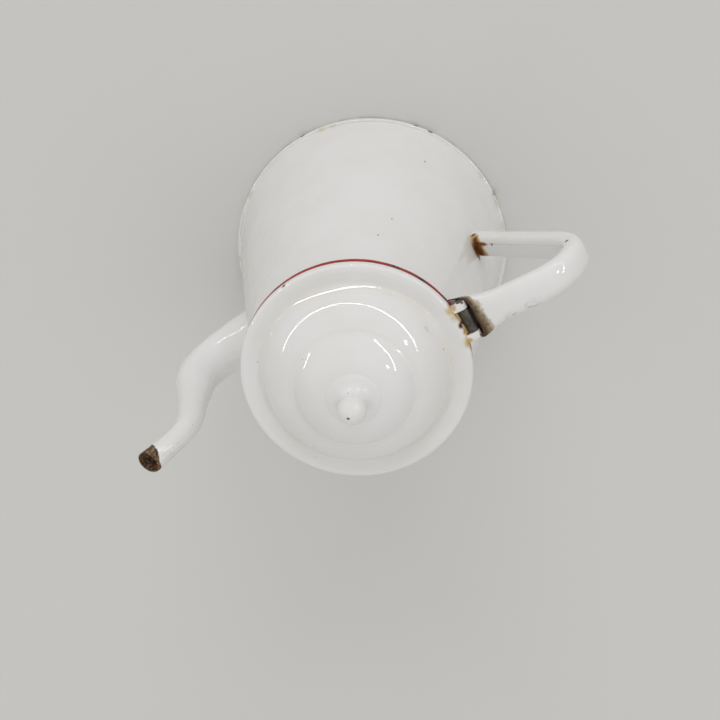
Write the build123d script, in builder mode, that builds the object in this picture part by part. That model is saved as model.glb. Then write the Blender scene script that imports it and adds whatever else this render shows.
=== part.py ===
"""Enamelled steel coffee pot with a hinged, stepped lid, a gooseneck spout and a tubular strap handle.

Millimetres. +Z is up, and the origin is the centre of the base on the table. The spout points to -Y.
The handle and the lid's hinge are on the +Y side, and the hinge pin lies along X.
"""

import os
from math import asin, atan2, cos, degrees, hypot, pi, radians, sin, sqrt

from build123d import *

# Pot shell: a tapered sheet steel body, folded at the foot and rolled over a wire at the mouth
base_radius = 76.5
rim_height = 163.2
mouth_radius = 49.0
shell_wall = 1.2
bead_radius = 2.5
rim_wire_radius = 1.3
hem_height = 4.2
base_recess = 3.0
hem_rounding = 1.0

# Lid: rolled edge, flat band, two domes one above the other, and a collar that drops into the mouth
lid_radius = 54.0
lid_wall = 1.0
lid_gap = 0.3
lid_edge_height = 1.8
lid_band_height = 4.2
lid_band_inner_radius = 45.0
lower_dome_radius = 43.0
lower_dome_foot = 6.0
lower_dome_bulge = 2.2
step_radius = 28.6
step_height = 21.2
step_width = 1.0
step_rise = 0.6
upper_dome_bulge = 1.8
lid_top_radius = 11.8
lid_top_height = 30.8
collar_radius = 47.4
collar_wall = 1.0
collar_drop = 8.5

# Knob: a hollow pressing with a flared foot
knob_foot_radius = 11.2
knob_foot_edge = 0.6
knob_neck_radius = 5.6
knob_ball_radius = 6.5
knob_ball_height = 10.6
knob_flare_bulge = 1.3
knob_wall = 1.0

# Spout: two pressed halves, seamed along the middle plane
spout_root_height = 54.0
spout_root_length = 39.2
spout_elbow_radius = 24.0
spout_neck_reach = 95.2
spout_neck_height = 143.1
spout_neck_bend = 25.0
spout_tip_reach = 116.6
spout_tip_height = 162.4
spout_root_diameter = 31.5
spout_elbow_diameter = 23.6
spout_riser_diameter = 23.0
spout_waist_diameter = 14.8
spout_throat_diameter = 11.0
spout_tip_diameter = 12.4
spout_wall = 1.1
spout_elbow_share = 0.21
spout_riser_share = 0.31
spout_waist_share = 0.62
spout_throat_share = 0.86
spout_sections = 24

# Strainer: round holes pierced through the shell behind the spout
strainer_hole_radius = 1.5
strainer_pitch = 4.6
strainer_rings = 2

# Handle: a strip rolled into a flattened tube, open at its upper end
handle_top_height = 165.3
handle_reach = 113.3
handle_bend_radius = 20.0
handle_foot_height = 72.5
handle_depth = 10.0
handle_mouth_width = 24.0
handle_top_width = 15.4
handle_low_width = 12.4
handle_wall = 1.2
handle_mouth_corner = 3.0
handle_corner = 4.7
handle_mouth_reach = 63.0
handle_mouth_slant = 7.0
handle_taper_length = 20.0
handle_sections = 24
handle_crowding = 1.5
tongue_drop = 3.0
tongue_width = 21.0

# Hinge: two ears on the lid, a bare knuckle on a strap in the handle's mouth, and a pin
hinge_reach = 57.6
hinge_height = 166.5
knuckle_radius = 2.5
knuckle_length = 11.4
ear_length = 3.6
hinge_side_gap = 0.3
pin_radius = 1.2
pin_running_gap = 0.05
pin_head_radius = 1.7
pin_head_length = 0.5
leaf_web_thickness = 0.8
ear_tab_thickness = 2.4
strap_thickness = 1.2
strap_width = 9.0
strap_level_length = 2.6
strap_slope_length = 3.4
strap_reach = 69.0

# Places that follow from the sizes above
bead_ring_radius = mouth_radius + bead_radius
rim_outer_radius = mouth_radius + shell_wall
tail_outer_radius = base_radius - shell_wall
tail_inner_radius = tail_outer_radius - shell_wall
lid_edge_z = rim_height + bead_radius + lid_gap
lid_under_z = lid_edge_z + lid_band_height - lid_wall
lid_top_z = lid_edge_z + lid_top_height
handle_floor_z = handle_top_height - handle_depth / 2
handle_inner_floor_z = handle_floor_z + handle_wall
ear_outer_x = knuckle_length / 2 + hinge_side_gap + ear_length


def shell_radius(z):
    """Outer radius of the tapered shell at a height."""
    share = (z - hem_height) / (rim_height - hem_height)
    return tail_outer_radius + (rim_outer_radius - tail_outer_radius) * share


def bulged(start, end, height):
    """Middle point of an arc from start to end that stands off its chord by height, on the right."""
    across, up = end[0] - start[0], end[1] - start[1]
    length = hypot(across, up)
    return (
        (start[0] + end[0]) / 2 + up / length * height,
        (start[1] + end[1]) / 2 - across / length * height,
    )


def eased(share):
    """Goes smoothly from 0 to 1 as share does, and stays at 0 or 1 outside that."""
    return (1 - cos(pi * min(max(share, 0), 1))) / 2


def across_path(path, share):
    """Plane square to a path in the YZ plane, with its first axis along X."""
    return Plane(origin=path @ share, x_dir=(1, 0, 0), z_dir=path % share)


os.makedirs("parts", exist_ok=True)

# What the shell fills when it is taken as solid: other pieces are trimmed to it
with BuildPart() as shell_space:
    with BuildSketch(Plane.XZ):
        with BuildLine():
            Polyline(
                (0, 0),
                (tail_outer_radius, 0),
                (tail_outer_radius, hem_height),
                (rim_outer_radius, rim_height),
                (0, rim_height),
                close=True,
            )
        make_face()
    revolve(axis=Axis.Z)

# Shell: a straight tail inside the foot's fold, then a plain taper up to the rolled rim
with BuildPart() as pot_body:
    with BuildSketch(Plane.XZ):
        with BuildLine():
            Polyline(
                (tail_outer_radius, shell_wall),
                (tail_outer_radius, hem_height),
                (rim_outer_radius, rim_height),
                (mouth_radius, rim_height),
                (tail_inner_radius, hem_height),
                (tail_inner_radius, shell_wall),
                close=True,
            )
        make_face()
        with Locations((bead_ring_radius, rim_height)):
            Circle(bead_radius, mode=Mode.SUBTRACT)
    revolve(axis=Axis.Z)
    with BuildSketch(Plane(origin=(0, 0, spout_root_height), x_dir=(1, 0, 0), z_dir=(0, -1, 0))):
        Circle(strainer_hole_radius)
        for ring in range(1, strainer_rings + 1):
            with PolarLocations(ring * strainer_pitch, 6 * ring):
                Circle(strainer_hole_radius)
    extrude(amount=base_radius, mode=Mode.SUBTRACT)
pot_body.part.label = "pot_body"
export_step(pot_body.part, "parts/pot_body.step")

# Base: a recessed disc whose edge is folded round the shell's tail and makes the ring it stands on
with BuildPart() as base_plate:
    with BuildSketch(Plane.XZ) as base_section:
        with BuildLine():
            Polyline(
                (0, base_recess),
                (tail_inner_radius - shell_wall, base_recess),
                (tail_inner_radius - shell_wall, 0),
                (base_radius, 0),
                (base_radius, hem_height),
                (tail_outer_radius, hem_height),
                (tail_outer_radius, shell_wall),
                (tail_inner_radius, shell_wall),
                (tail_inner_radius, base_recess + shell_wall),
                (0, base_recess + shell_wall),
                close=True,
            )
        make_face()
        fillet(base_section.vertices().group_by(Axis.Y)[0], hem_rounding)
    revolve(axis=Axis.Z)
base_plate.part.label = "base_plate"
export_step(base_plate.part, "parts/base_plate.step")

# Rim: the shell's edge rolled over a steel wire, enamelled red
with BuildPart() as rim_bead:
    with BuildSketch(Plane.XZ):
        with Locations((bead_ring_radius, rim_height)):
            Circle(bead_radius)
            Circle(rim_wire_radius, mode=Mode.SUBTRACT)
    revolve(axis=Axis.Z)
rim_bead.part.label = "rim_bead"
export_step(rim_bead.part, "parts/rim_bead.step")

with BuildPart() as rim_wire:
    with BuildSketch(Plane.XZ):
        with Locations((bead_ring_radius, rim_height)):
            Circle(rim_wire_radius)
    revolve(axis=Axis.Z)
rim_wire.part.label = "rim_wire"
export_step(rim_wire.part, "parts/rim_wire.step")

# Spout: a tapering tube along a level root, an elbow, a riser that leans in, and an outward tip
with BuildLine(Plane.YZ) as spout_line:
    FilletPolyline(
        (-shell_radius(spout_root_height) + 2 * shell_wall, spout_root_height),
        (-shell_radius(spout_root_height) - spout_root_length, spout_root_height),
        (-spout_neck_reach, spout_neck_height),
        (-spout_tip_reach, spout_tip_height),
        radius=[spout_elbow_radius, spout_neck_bend],
    )
spout_path = spout_line.wires()[0]
spout_stations = [
    (0, spout_root_diameter),
    (spout_elbow_share, spout_elbow_diameter),
    (spout_riser_share, spout_riser_diameter),
    (spout_waist_share, spout_waist_diameter),
    (spout_throat_share, spout_throat_diameter),
    (1, spout_tip_diameter),
]


def spout_radius(share):
    """Outer radius of the spout, in a soft taper from each station to the next."""
    for (near, first), (far, last) in zip(spout_stations, spout_stations[1:]):
        if share <= far:
            along = (share - near) / (far - near)
            return (first + (last - first) * (along + eased(along)) / 2) / 2
    return spout_tip_diameter / 2


with BuildPart() as spout_half_left:
    for step in range(spout_sections + 1):
        share = step / spout_sections
        radius = spout_radius(share)
        with BuildSketch(across_path(spout_path, share)):
            with BuildLine():
                CenterArc((0, 0), radius, 90, 180)
                Line((0, -radius), (0, radius))
            make_face()
    loft()
    for step in range(spout_sections + 1):
        share = step / spout_sections
        radius = spout_radius(share) - spout_wall
        with BuildSketch(across_path(spout_path, share)):
            with BuildLine():
                CenterArc((0, 0), radius, 90, 180)
                Polyline((0, -radius), (spout_wall / 2, -radius), (spout_wall / 2, radius), (0, radius))
            make_face()
    loft(mode=Mode.SUBTRACT)
    add(shell_space.part, mode=Mode.SUBTRACT)
spout_half_left.part.label = "spout_half_left"
export_step(spout_half_left.part, "parts/spout_half_left.step")

with BuildPart() as spout_half_right:
    add(spout_half_left.part)
    mirror(about=Plane.YZ, mode=Mode.REPLACE)
spout_half_right.part.label = "spout_half_right"
export_step(spout_half_right.part, "parts/spout_half_right.step")

# Handle: a level arm, a round bend, and a straight lower arm that runs back to the shell
bend_centre = (handle_reach - handle_bend_radius, handle_top_height - handle_bend_radius)
handle_foot = (shell_radius(handle_foot_height), handle_foot_height)
foot_span = (bend_centre[0] - handle_foot[0], bend_centre[1] - handle_foot[1])
arm_angle = atan2(foot_span[1], foot_span[0]) - asin(handle_bend_radius / hypot(*foot_span))
arm_length = sqrt(hypot(*foot_span) ** 2 - handle_bend_radius**2)
arm_top = (
    handle_foot[0] + arm_length * cos(arm_angle),
    handle_foot[1] + arm_length * sin(arm_angle),
)
arm_end = (
    handle_foot[0] - handle_depth * cos(arm_angle),
    handle_foot[1] - handle_depth * sin(arm_angle),
)
handle_start = lid_radius + leaf_web_thickness
with BuildLine(Plane.YZ) as handle_line:
    Line((handle_start, handle_top_height), (bend_centre[0], handle_top_height))
    CenterArc(bend_centre, handle_bend_radius, 90, degrees(arm_angle) - 180)
    Line(arm_top, arm_end)
handle_path = handle_line.wires()[0]


def handle_section(share, inset):
    """Width, depth and corner radius of the handle's tube, drawn in by inset all round."""
    flare = 1 - eased(share * handle_path.length / handle_taper_length)
    width = handle_top_width + (handle_low_width - handle_top_width) * eased(share)
    width = width + (handle_mouth_width - handle_top_width) * flare
    corner = handle_corner + (handle_mouth_corner - handle_corner) * flare
    return width - 2 * inset, handle_depth - 2 * inset, corner - inset


with BuildPart() as handle:
    for wall, mode in ((0, Mode.ADD), (handle_wall, Mode.SUBTRACT)):
        for step in range(handle_sections + 1):
            # The sections lie closer together where the mouth flares
            share = (step / handle_sections) ** handle_crowding
            with BuildSketch(across_path(handle_path, share)):
                RectangleRounded(*handle_section(share, wall))
        loft(mode=mode)
    # The mouth is cut on a slant, so that the floor reaches further in than the top
    with BuildSketch(Plane.YZ):
        with BuildLine():
            Polyline(
                (handle_mouth_reach, handle_floor_z + handle_depth + handle_wall),
                (handle_mouth_reach, handle_floor_z + handle_depth),
                (handle_mouth_reach - handle_mouth_slant, handle_inner_floor_z),
                (mouth_radius, handle_inner_floor_z),
                (mouth_radius, handle_floor_z + handle_depth + handle_wall),
                close=True,
            )
        make_face()
    extrude(amount=handle_mouth_width, both=True, mode=Mode.SUBTRACT)
    # A tongue carries the floor down and in under the rim, to the shell
    with BuildSketch(Plane.YZ):
        with BuildLine():
            Polyline(
                (handle_mouth_reach, handle_floor_z),
                (handle_mouth_reach, handle_inner_floor_z),
                (mouth_radius, handle_inner_floor_z - tongue_drop),
                (mouth_radius, handle_floor_z - tongue_drop),
                close=True,
            )
        make_face()
    extrude(amount=tongue_width / 2, both=True)
    add(shell_space.part, mode=Mode.SUBTRACT)
handle.part.label = "handle"
export_step(handle.part, "parts/handle.step")

# Hinge strap: bare steel, curled round the pin, stepped down and brazed to the handle's floor
strap_low_z = hinge_height - knuckle_radius
strap_step_y = hinge_reach + strap_level_length
with BuildPart() as hinge_strap:
    with BuildSketch(Plane.YZ):
        with BuildLine():
            Polyline(
                (hinge_reach, strap_low_z),
                (strap_step_y, strap_low_z),
                (strap_step_y + strap_slope_length, handle_inner_floor_z),
                (strap_reach, handle_inner_floor_z),
                (strap_reach, handle_inner_floor_z + strap_thickness),
                (strap_step_y + strap_slope_length, handle_inner_floor_z + strap_thickness),
                (strap_step_y, strap_low_z + strap_thickness),
                (hinge_reach, strap_low_z + strap_thickness),
                close=True,
            )
        make_face()
    extrude(amount=strap_width / 2, both=True)
    with BuildSketch(Plane.YZ):
        with Locations((hinge_reach, hinge_height)):
            Circle(knuckle_radius)
    extrude(amount=knuckle_length / 2, both=True)
    with BuildSketch(Plane.YZ):
        with Locations((hinge_reach, hinge_height)):
            Circle(pin_radius + pin_running_gap)
    extrude(amount=knuckle_length, both=True, mode=Mode.SUBTRACT)
hinge_strap.part.label = "hinge_strap"
export_step(hinge_strap.part, "parts/hinge_strap.step")

# Pin: fast in the lid's ears, free in the strap's knuckle, with peened ends
with BuildPart() as hinge_pin:
    with BuildSketch(Plane.YZ):
        with Locations((hinge_reach, hinge_height)):
            Circle(pin_radius)
    extrude(amount=ear_outer_x, both=True)
    for side in (-1, 1):
        with BuildSketch(Plane.YZ.offset(side * ear_outer_x)):
            with Locations((hinge_reach, hinge_height)):
                Circle(pin_head_radius)
        extrude(amount=side * pin_head_length)
hinge_pin.part.label = "hinge_pin"
export_step(hinge_pin.part, "parts/hinge_pin.step")

# Lid: the inside follows the outside, one wall in and one wall down
edge_round = lid_band_height - lid_edge_height
round_share = sin(radians(45))
lid_points = [
    (lid_radius, lid_edge_height),
    (lid_radius - edge_round, lid_band_height),
    (lid_band_inner_radius, lid_band_height),
    (lower_dome_radius, lower_dome_foot),
    (step_radius, step_height),
    (step_radius - step_width, step_height + step_rise),
    (lid_top_radius, lid_top_height),
]


def draw_lid_side(wall):
    """Draws the lid's outline from its edge to its axis, moved in and down by wall."""
    edge, shoulder, band, foot, step, ledge, top = [
        (radius - wall, lid_edge_z + height - wall) for radius, height in lid_points
    ]
    Line((edge[0], lid_edge_z), edge)
    ThreePointArc(
        edge,
        (shoulder[0] + edge_round * round_share, edge[1] + edge_round * round_share),
        shoulder,
    )
    Line(shoulder, band)
    Line(band, foot)
    ThreePointArc(foot, bulged(foot, step, lower_dome_bulge), step)
    Line(step, ledge)
    ThreePointArc(ledge, bulged(ledge, top, upper_dome_bulge), top)
    Line(top, (0, top[1]))


with BuildPart() as lid_space:
    with BuildSketch(Plane.XZ):
        with BuildLine():
            draw_lid_side(0)
            Polyline((0, lid_top_z), (0, lid_edge_z), (lid_radius, lid_edge_z))
        make_face()
    revolve(axis=Axis.Z)

with BuildPart() as lid:
    with BuildSketch(Plane.XZ):
        with BuildLine():
            draw_lid_side(0)
            draw_lid_side(lid_wall)
            Line((lid_radius, lid_edge_z), (lid_radius - lid_wall, lid_edge_z))
            Line((0, lid_top_z), (0, lid_top_z - lid_wall))
        make_face()
    revolve(axis=Axis.Z)
lid.part.label = "lid"
export_step(lid.part, "parts/lid.step")

# Collar: a plain band under the lid that drops into the mouth
with BuildPart() as lid_collar:
    with BuildSketch(Plane.XY.offset(lid_edge_z - collar_drop)):
        Circle(collar_radius)
        Circle(collar_radius - collar_wall, mode=Mode.SUBTRACT)
    extrude(amount=collar_drop + lid_under_z - lid_edge_z)
lid_collar.part.label = "lid_collar"
export_step(lid_collar.part, "parts/lid_collar.step")

# Hinge leaf: a web round the lid's edge with an ear at each end, curled round the pin
with BuildPart() as lid_hinge_leaf:
    with BuildSketch(Plane.XY.offset(lid_edge_z)):
        Circle(lid_radius + leaf_web_thickness)
        Circle(lid_radius, mode=Mode.SUBTRACT)
        with Locations((0, lid_radius)):
            Rectangle(2 * ear_outer_x, lid_radius, mode=Mode.INTERSECT)
    extrude(amount=lid_edge_height)
    for side in (-1, 1):
        with BuildSketch(Plane.YZ.offset(side * (ear_outer_x - ear_length))):
            with Locations((hinge_reach, hinge_height)):
                Circle(knuckle_radius)
            with Locations((hinge_reach, hinge_height + knuckle_radius)):
                Rectangle(
                    hinge_reach - mouth_radius,
                    ear_tab_thickness,
                    align=(Align.MAX, Align.MAX),
                )
        extrude(amount=side * ear_length)
    add(lid_space.part, mode=Mode.SUBTRACT)
    with BuildSketch(Plane.YZ):
        with Locations((hinge_reach, hinge_height)):
            Circle(pin_radius)
    extrude(amount=ear_outer_x, both=True, mode=Mode.SUBTRACT)
lid_hinge_leaf.part.label = "lid_hinge_leaf"
export_step(lid_hinge_leaf.part, "parts/lid_hinge_leaf.step")

# Knob: flared foot, narrow neck and ball, pressed hollow and closed underneath by the lid


def draw_knob_side(wall, foot_height):
    """Draws the knob's outline from its foot to its top, one wall inside the outer one."""
    ball = knob_ball_radius - wall
    neck = knob_neck_radius - wall
    centre = lid_top_z + knob_ball_height
    foot = (knob_foot_radius - 2 * wall, lid_top_z + foot_height)
    waist = (neck, centre - sqrt(ball**2 - neck**2))
    if foot_height:
        Line((foot[0], lid_top_z), foot)
    ThreePointArc(foot, bulged(foot, waist, -knob_flare_bulge), waist)
    ThreePointArc(waist, (ball, centre), (0, centre + ball))


with BuildPart() as knob:
    with BuildSketch(Plane.XZ):
        with BuildLine():
            draw_knob_side(0, knob_foot_edge)
            draw_knob_side(knob_wall, 0)
            Line((knob_foot_radius, lid_top_z), (knob_foot_radius - 2 * knob_wall, lid_top_z))
            Line(
                (0, lid_top_z + knob_ball_height + knob_ball_radius),
                (0, lid_top_z + knob_ball_height + knob_ball_radius - knob_wall),
            )
        make_face()
    revolve(axis=Axis.Z)
knob.part.label = "knob"
export_step(knob.part, "parts/knob.step")

print("height", round(lid_top_z + knob_ball_height + knob_ball_radius, 1))
print("handle path", round(handle_path.length, 1), "lower arm angle", round(degrees(arm_angle), 1))
print("spout path", round(spout_path.length, 1))
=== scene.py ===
# %% [markdown]
# # An old enamelled coffee pot
#
# The pot is sheet steel under glass: a tapered shell, a domed lid on a hinge, a gooseneck spout and a
# handle rolled from a strip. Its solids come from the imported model, at the right size and in the right
# place. This lesson gives them what a camera sees: soft fired edges, gloss, chips, rust and dirt.

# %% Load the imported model
from math import asin, atan2, cos, degrees, hypot, pi, radians, sin, sqrt, tan

import bmesh
import bpy
from mathutils import Matrix, Vector, noise


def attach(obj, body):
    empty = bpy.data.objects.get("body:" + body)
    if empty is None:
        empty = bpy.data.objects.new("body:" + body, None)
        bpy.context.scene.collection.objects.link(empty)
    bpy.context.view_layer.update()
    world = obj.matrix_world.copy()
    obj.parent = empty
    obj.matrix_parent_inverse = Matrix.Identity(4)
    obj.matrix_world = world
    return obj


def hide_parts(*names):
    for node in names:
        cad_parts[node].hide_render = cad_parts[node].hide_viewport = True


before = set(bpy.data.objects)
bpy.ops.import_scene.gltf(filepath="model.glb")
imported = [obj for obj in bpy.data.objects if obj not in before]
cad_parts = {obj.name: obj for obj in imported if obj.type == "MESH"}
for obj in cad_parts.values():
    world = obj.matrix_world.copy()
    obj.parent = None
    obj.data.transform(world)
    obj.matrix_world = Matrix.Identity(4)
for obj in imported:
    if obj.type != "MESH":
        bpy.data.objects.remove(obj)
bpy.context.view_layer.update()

# %% [markdown]
# ## Sizes
#
# Everything is written in millimetres, as on a drawing, and turned into metres once, when a mesh is made.
# The sizes are those of the solids, so that each dressed piece lies where its solid does.

# %% Sizes of the pot
MM = 0.001
FOOT_RADIUS = 76.5
RIM_HEIGHT = 163.2
MOUTH_RADIUS = 49.0
SHEET = 1.2
BEAD_RADIUS = 2.5
HEM_HEIGHT = 4.2
BASE_RECESS = 3.0
TAIL_RADIUS = FOOT_RADIUS - SHEET
RIM_RADIUS = MOUTH_RADIUS + SHEET
LID_EDGE = 166.0
LID_RADIUS = 54.0
LID_TOP = LID_EDGE + 30.8
HINGE = Vector((0, 57.6, 166.5))


def shell_radius(z):
    """Outer radius of the tapered shell at a height."""
    share = (z - HEM_HEIGHT) / (RIM_HEIGHT - HEM_HEIGHT)
    return TAIL_RADIUS + (RIM_RADIUS - TAIL_RADIUS) * share


def smooth(share):
    """Goes from 0 to 1 with no jerk at either end."""
    share = min(max(share, 0), 1)
    return share * share * (3 - 2 * share)


# %% [markdown]
# ## Helpers for node trees
#
# Materials and Geometry Nodes are both trees of nodes. One helper adds a node, sets its options and fills
# its inputs, either with a value or with a link from another node, whose tree it joins. The others name
# the few kinds of node that come back in every finish.


# %% Add nodes to a tree
def is_output(value):
    return isinstance(value, bpy.types.NodeSocket)


def fill(node, inputs):
    """Gives each input a value, or a link from another node's output."""
    for key, value in inputs.items():
        if is_output(value):
            node.id_data.links.new(value, node.inputs[key])
        else:
            node.inputs[key].default_value = value


def add(kind, inputs=None, tree=None, **options):
    """Adds a node to a tree, by default the one its inputs come from, and hands back its first output."""
    inputs = inputs or {}
    tree = tree or next(value.id_data for value in inputs.values() if is_output(value))
    node = tree.nodes.new(kind)
    for option, value in options.items():
        setattr(node, option, value)
    fill(node, inputs)
    return node.outputs[0] if len(node.outputs) else node


def math(operation, *values):
    return add("ShaderNodeMath", dict(enumerate(values)), operation=operation)


def times(product, *factors):
    for factor in factors:
        product = math("MULTIPLY", product, factor)
    return product


def larger(first, second):
    return math("MAXIMUM", first, second)


def vector_math(operation, *values, **named):
    return add("ShaderNodeVectorMath", dict(enumerate(values)) | named, operation=operation)


def axes(place):
    """The X, Y and Z of a place."""
    return add("ShaderNodeSeparateXYZ", {0: place}).node.outputs


def blend(share, first, second):
    """Mixes two colours, each an output or three numbers."""
    first, second = [c if is_output(c) else (*c, 1) for c in (first, second)]
    return add("ShaderNodeMix", {0: share, 6: first, 7: second}, data_type="RGBA").node.outputs[2]


def ramp(value, low, high, to_low=0.0, to_high=1.0):
    """Maps value from low..high to to_low..to_high, softly at both ends."""
    inputs = {"Value": value, "From Min": low, "From Max": high, "To Min": to_low, "To Max": to_high}
    return add("ShaderNodeMapRange", inputs, interpolation_type="SMOOTHSTEP")


# %% [markdown]
# ## Finishes
#
# Vitreous enamel is glass melted onto steel, so it reflects like glass over an opaque white. What makes it
# look real is what isn't perfect: the slow waviness of a dipped coat, cloudy grey scuffs, and chips, each
# a dark pit of bare iron with a rusty edge. Chips sit where knocks fall, so each is placed one by one, as a
# sphere in the pot's own millimetres, and a noise that bends the coordinates makes its outline ragged.


# %% The coordinates and the noises that every finish shares
def surface(name):
    """A new material, its shader and its coordinates in millimetres."""
    material = bpy.data.materials.new(name)
    material.use_nodes = True
    tree = material.node_tree
    place = add("ShaderNodeTexCoord", tree=tree).node.outputs["Object"]
    return material, tree.nodes["Principled BSDF"], vector_math("SCALE", place, Scale=1 / MM)


def cloud(place, size, detail=3.0, roughness=0.55, distortion=0.0):
    """A noise whose blotches are about size millimetres across."""
    inputs = {"Vector": place, "Scale": 1 / size, "Detail": detail, "Roughness": roughness}
    return add("ShaderNodeTexNoise", inputs | {"Distortion": distortion})


def ragged(place, size, reach, detail=4):
    """The coordinates, pushed about by up to reach millimetres, so that a round mask gets a torn edge."""
    push = cloud(place, size, detail, roughness=0.5).node.outputs["Color"]
    push = vector_math("SUBTRACT", push, (0.5, 0.5, 0.5))
    return vector_math("ADD", place, vector_math("SCALE", push, Scale=2 * reach))


def ball_masks(place, balls, soft):
    """1 inside any of the balls (x, y, z, radius), fading over a share of the radius."""
    mask = None
    for *centre, radius in balls:
        away = vector_math("DISTANCE", place, centre).node.outputs["Value"]
        one = ramp(away, radius * (1 - soft), radius * (1 + soft), 1.0, 0.0)
        mask = one if mask is None else larger(mask, one)
    return mask


def relief(height, strength, depth, under=None):
    """A bump of up to depth millimetres, over another one if that is given."""
    inputs = {"Height": height, "Strength": strength, "Distance": depth * MM}
    return add("ShaderNodeBump", inputs | ({"Normal": under} if under else {}))


# %% Rust, iron and white enamel
YELLOW_RUST = (0.55, 0.385, 0.14)
RUST_ORANGE = (0.27, 0.105, 0.026)
RUST_BROWN = (0.12, 0.034, 0.006)
BARE_IRON = (0.030, 0.025, 0.021)
WHITE, DULL_WHITE = (0.80, 0.795, 0.79), (0.775, 0.765, 0.75)
CREAM = (0.70, 0.63, 0.51)
SCUFF_GREY, GRIME_GREY = (0.50, 0.49, 0.47), (0.30, 0.295, 0.29)
SPECK_BROWN = (0.16, 0.12, 0.09)
GLASS_IOR = 1.5


def layer_rust(colour, depth):
    """Lays rust over a colour: a yellow film where depth is small, then orange, then brown."""
    film = ramp(depth, 0.10, 0.42, 0.0, 1.0)
    rust = blend(ramp(depth, 0.42, 0.72), YELLOW_RUST, RUST_ORANGE)
    rust = blend(ramp(depth, 0.62, 0.95), rust, RUST_BROWN)
    return blend(film, colour, rust)


def rusty_iron(tone, low, high):
    return blend(ramp(tone, low, high), BARE_IRON, RUST_BROWN)


def show_iron(colour, gloss, bare, iron, roughness):
    """The colour and gloss with iron in place of the glass where bare is 1."""
    return blend(bare, colour, iron), larger(gloss, times(bare, roughness))


def white_enamel(name, chips=(), films=(), rust=(), grime=(), extra=None, film_depth=0.5):
    """Glossy white glass, with chips to the iron, films of yellow rust, deep rust and grey rubbing.

    Each of these is a list of balls (x, y, z, radius) in the pot's millimetres; extra adds more on top.
    """
    material, shader, place = surface(name)
    colour = blend(ramp(cloud(place, 38.0), 0.35, 0.7), WHITE, DULL_WHITE)
    scuff = cloud(place, 9.0, detail=8.0, roughness=0.7, distortion=1.5)
    colour = blend(ramp(scuff, 0.60, 0.74, 0.0, 0.10), colour, SCUFF_GREY)
    gloss = ramp(scuff, 0.45, 0.75, 0.05, 0.10)
    specks = ramp(cloud(place, 1.3, detail=1.0), 0.79, 0.82)
    sparse = ramp(cloud(place, 24.0, detail=1.0), 0.52, 0.60)
    colour = blend(times(specks, sparse), colour, SPECK_BROWN)
    if grime:
        mask = ball_masks(ragged(place, 5.0, 1.6), grime, 0.8)
        drawn_out = vector_math("MULTIPLY", place, (1.0, 0.3, 1.0))
        patchy = ramp(cloud(drawn_out, 0.8, detail=5.0), 0.46, 0.66, 0.0, 0.8)
        colour = blend(times(mask, patchy), colour, GRIME_GREY)
    depths = []
    if films:
        depths.append((ball_masks(ragged(place, 4.0, 0.7, 2), films, 0.8), film_depth))
    if rust:
        soft = ball_masks(ragged(place, 4.0, 0.5, 1), rust, 0.95)
        depths.append((math("POWER", soft, 0.55), 1.02))
    for mask, most in depths:
        patchy = ramp(cloud(place, 2.6), 0.3, 0.62, 0.8, 1.0)
        depth = times(mask, patchy, most)
        colour = layer_rust(colour, depth)
        gloss = larger(gloss, ramp(depth, 0.3, 0.9, 0.0, 0.75))
    pit = None
    if chips:
        torn = ragged(place, 1.2, 0.5)
        halo = ball_masks(torn, [(x, y, z, r * 1.5) for x, y, z, r in chips], 0.35)
        colour = blend(times(halo, 0.6), colour, RUST_ORANGE)
        pit = ball_masks(torn, chips, 0.16)
        iron = rusty_iron(cloud(place, 0.9), 0.4, 0.6)
        colour, gloss = show_iron(colour, gloss, pit, iron, 0.75)
    if extra:
        colour, gloss, pit = extra(place, colour, gloss, pit)
    bump = relief(cloud(place, 15.0, detail=1.0), 0.3, 0.6)
    if pit:
        bump = relief(math("SUBTRACT", 1.0, pit), 0.8, 0.3, bump)
    fill(shader, {"Base Color": colour, "Roughness": gloss, "Normal": bump, "IOR": GLASS_IOR})
    return material


def from_axis(place):
    """Distance from the pot's axis, and the height, in millimetres."""
    x, y, z = axes(place)
    flat = add("ShaderNodeCombineXYZ", {"X": x, "Y": y})
    return vector_math("LENGTH", flat).node.outputs["Value"], z


# %% Red enamel, rust inside the handle, and bare steel
def red_enamel():
    """The rim's red glass, rubbed through to dark iron in a few places."""
    material, shader, place = surface("red_rim_enamel")
    tone = cloud(place, 7.0, detail=4.0)
    colour = blend(ramp(tone, 0.35, 0.65), (0.40, 0.019, 0.012), (0.29, 0.013, 0.010))
    worn = cloud(place, 2.4, detail=6.0, roughness=0.65)
    where = ball_masks(ragged(place, 3.0, 1.5), RIM_WEAR, 0.5)
    bare = times(where, ramp(worn, 0.44, 0.54))
    gloss = ramp(worn, 0.4, 0.8, 0.10, 0.22)
    colour, gloss = show_iron(colour, gloss, bare, rusty_iron(worn, 0.5, 0.7), 0.6)
    bump = relief(math("SUBTRACT", 1.0, bare), 0.6, 0.2)
    fill(shader, {"Base Color": colour, "Roughness": gloss, "Normal": bump, "IOR": GLASS_IOR})
    return material


def rusty_inside(name):
    """The rough brown rust inside the handle, where enamel never reached."""
    material, shader, place = surface(name)
    coarse = cloud(place, 3.0, detail=6.0, roughness=0.7)
    fine = cloud(place, 0.9, detail=5.0, roughness=0.7)
    colour = blend(ramp(coarse, 0.38, 0.6), (0.055, 0.032, 0.018), (0.16, 0.085, 0.042))
    colour = blend(ramp(fine, 0.5, 0.66, 0.0, 0.8), colour, (0.34, 0.22, 0.12))
    colour = blend(ramp(coarse, 0.60, 0.68, 0.0, 0.7), colour, (0.30, 0.10, 0.02))
    bump = relief(math("ADD", coarse, times(fine, 0.4)), 0.9, 0.6)
    fill(shader, {"Base Color": colour, "Normal": bump, "Roughness": 0.9})
    return material


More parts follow.
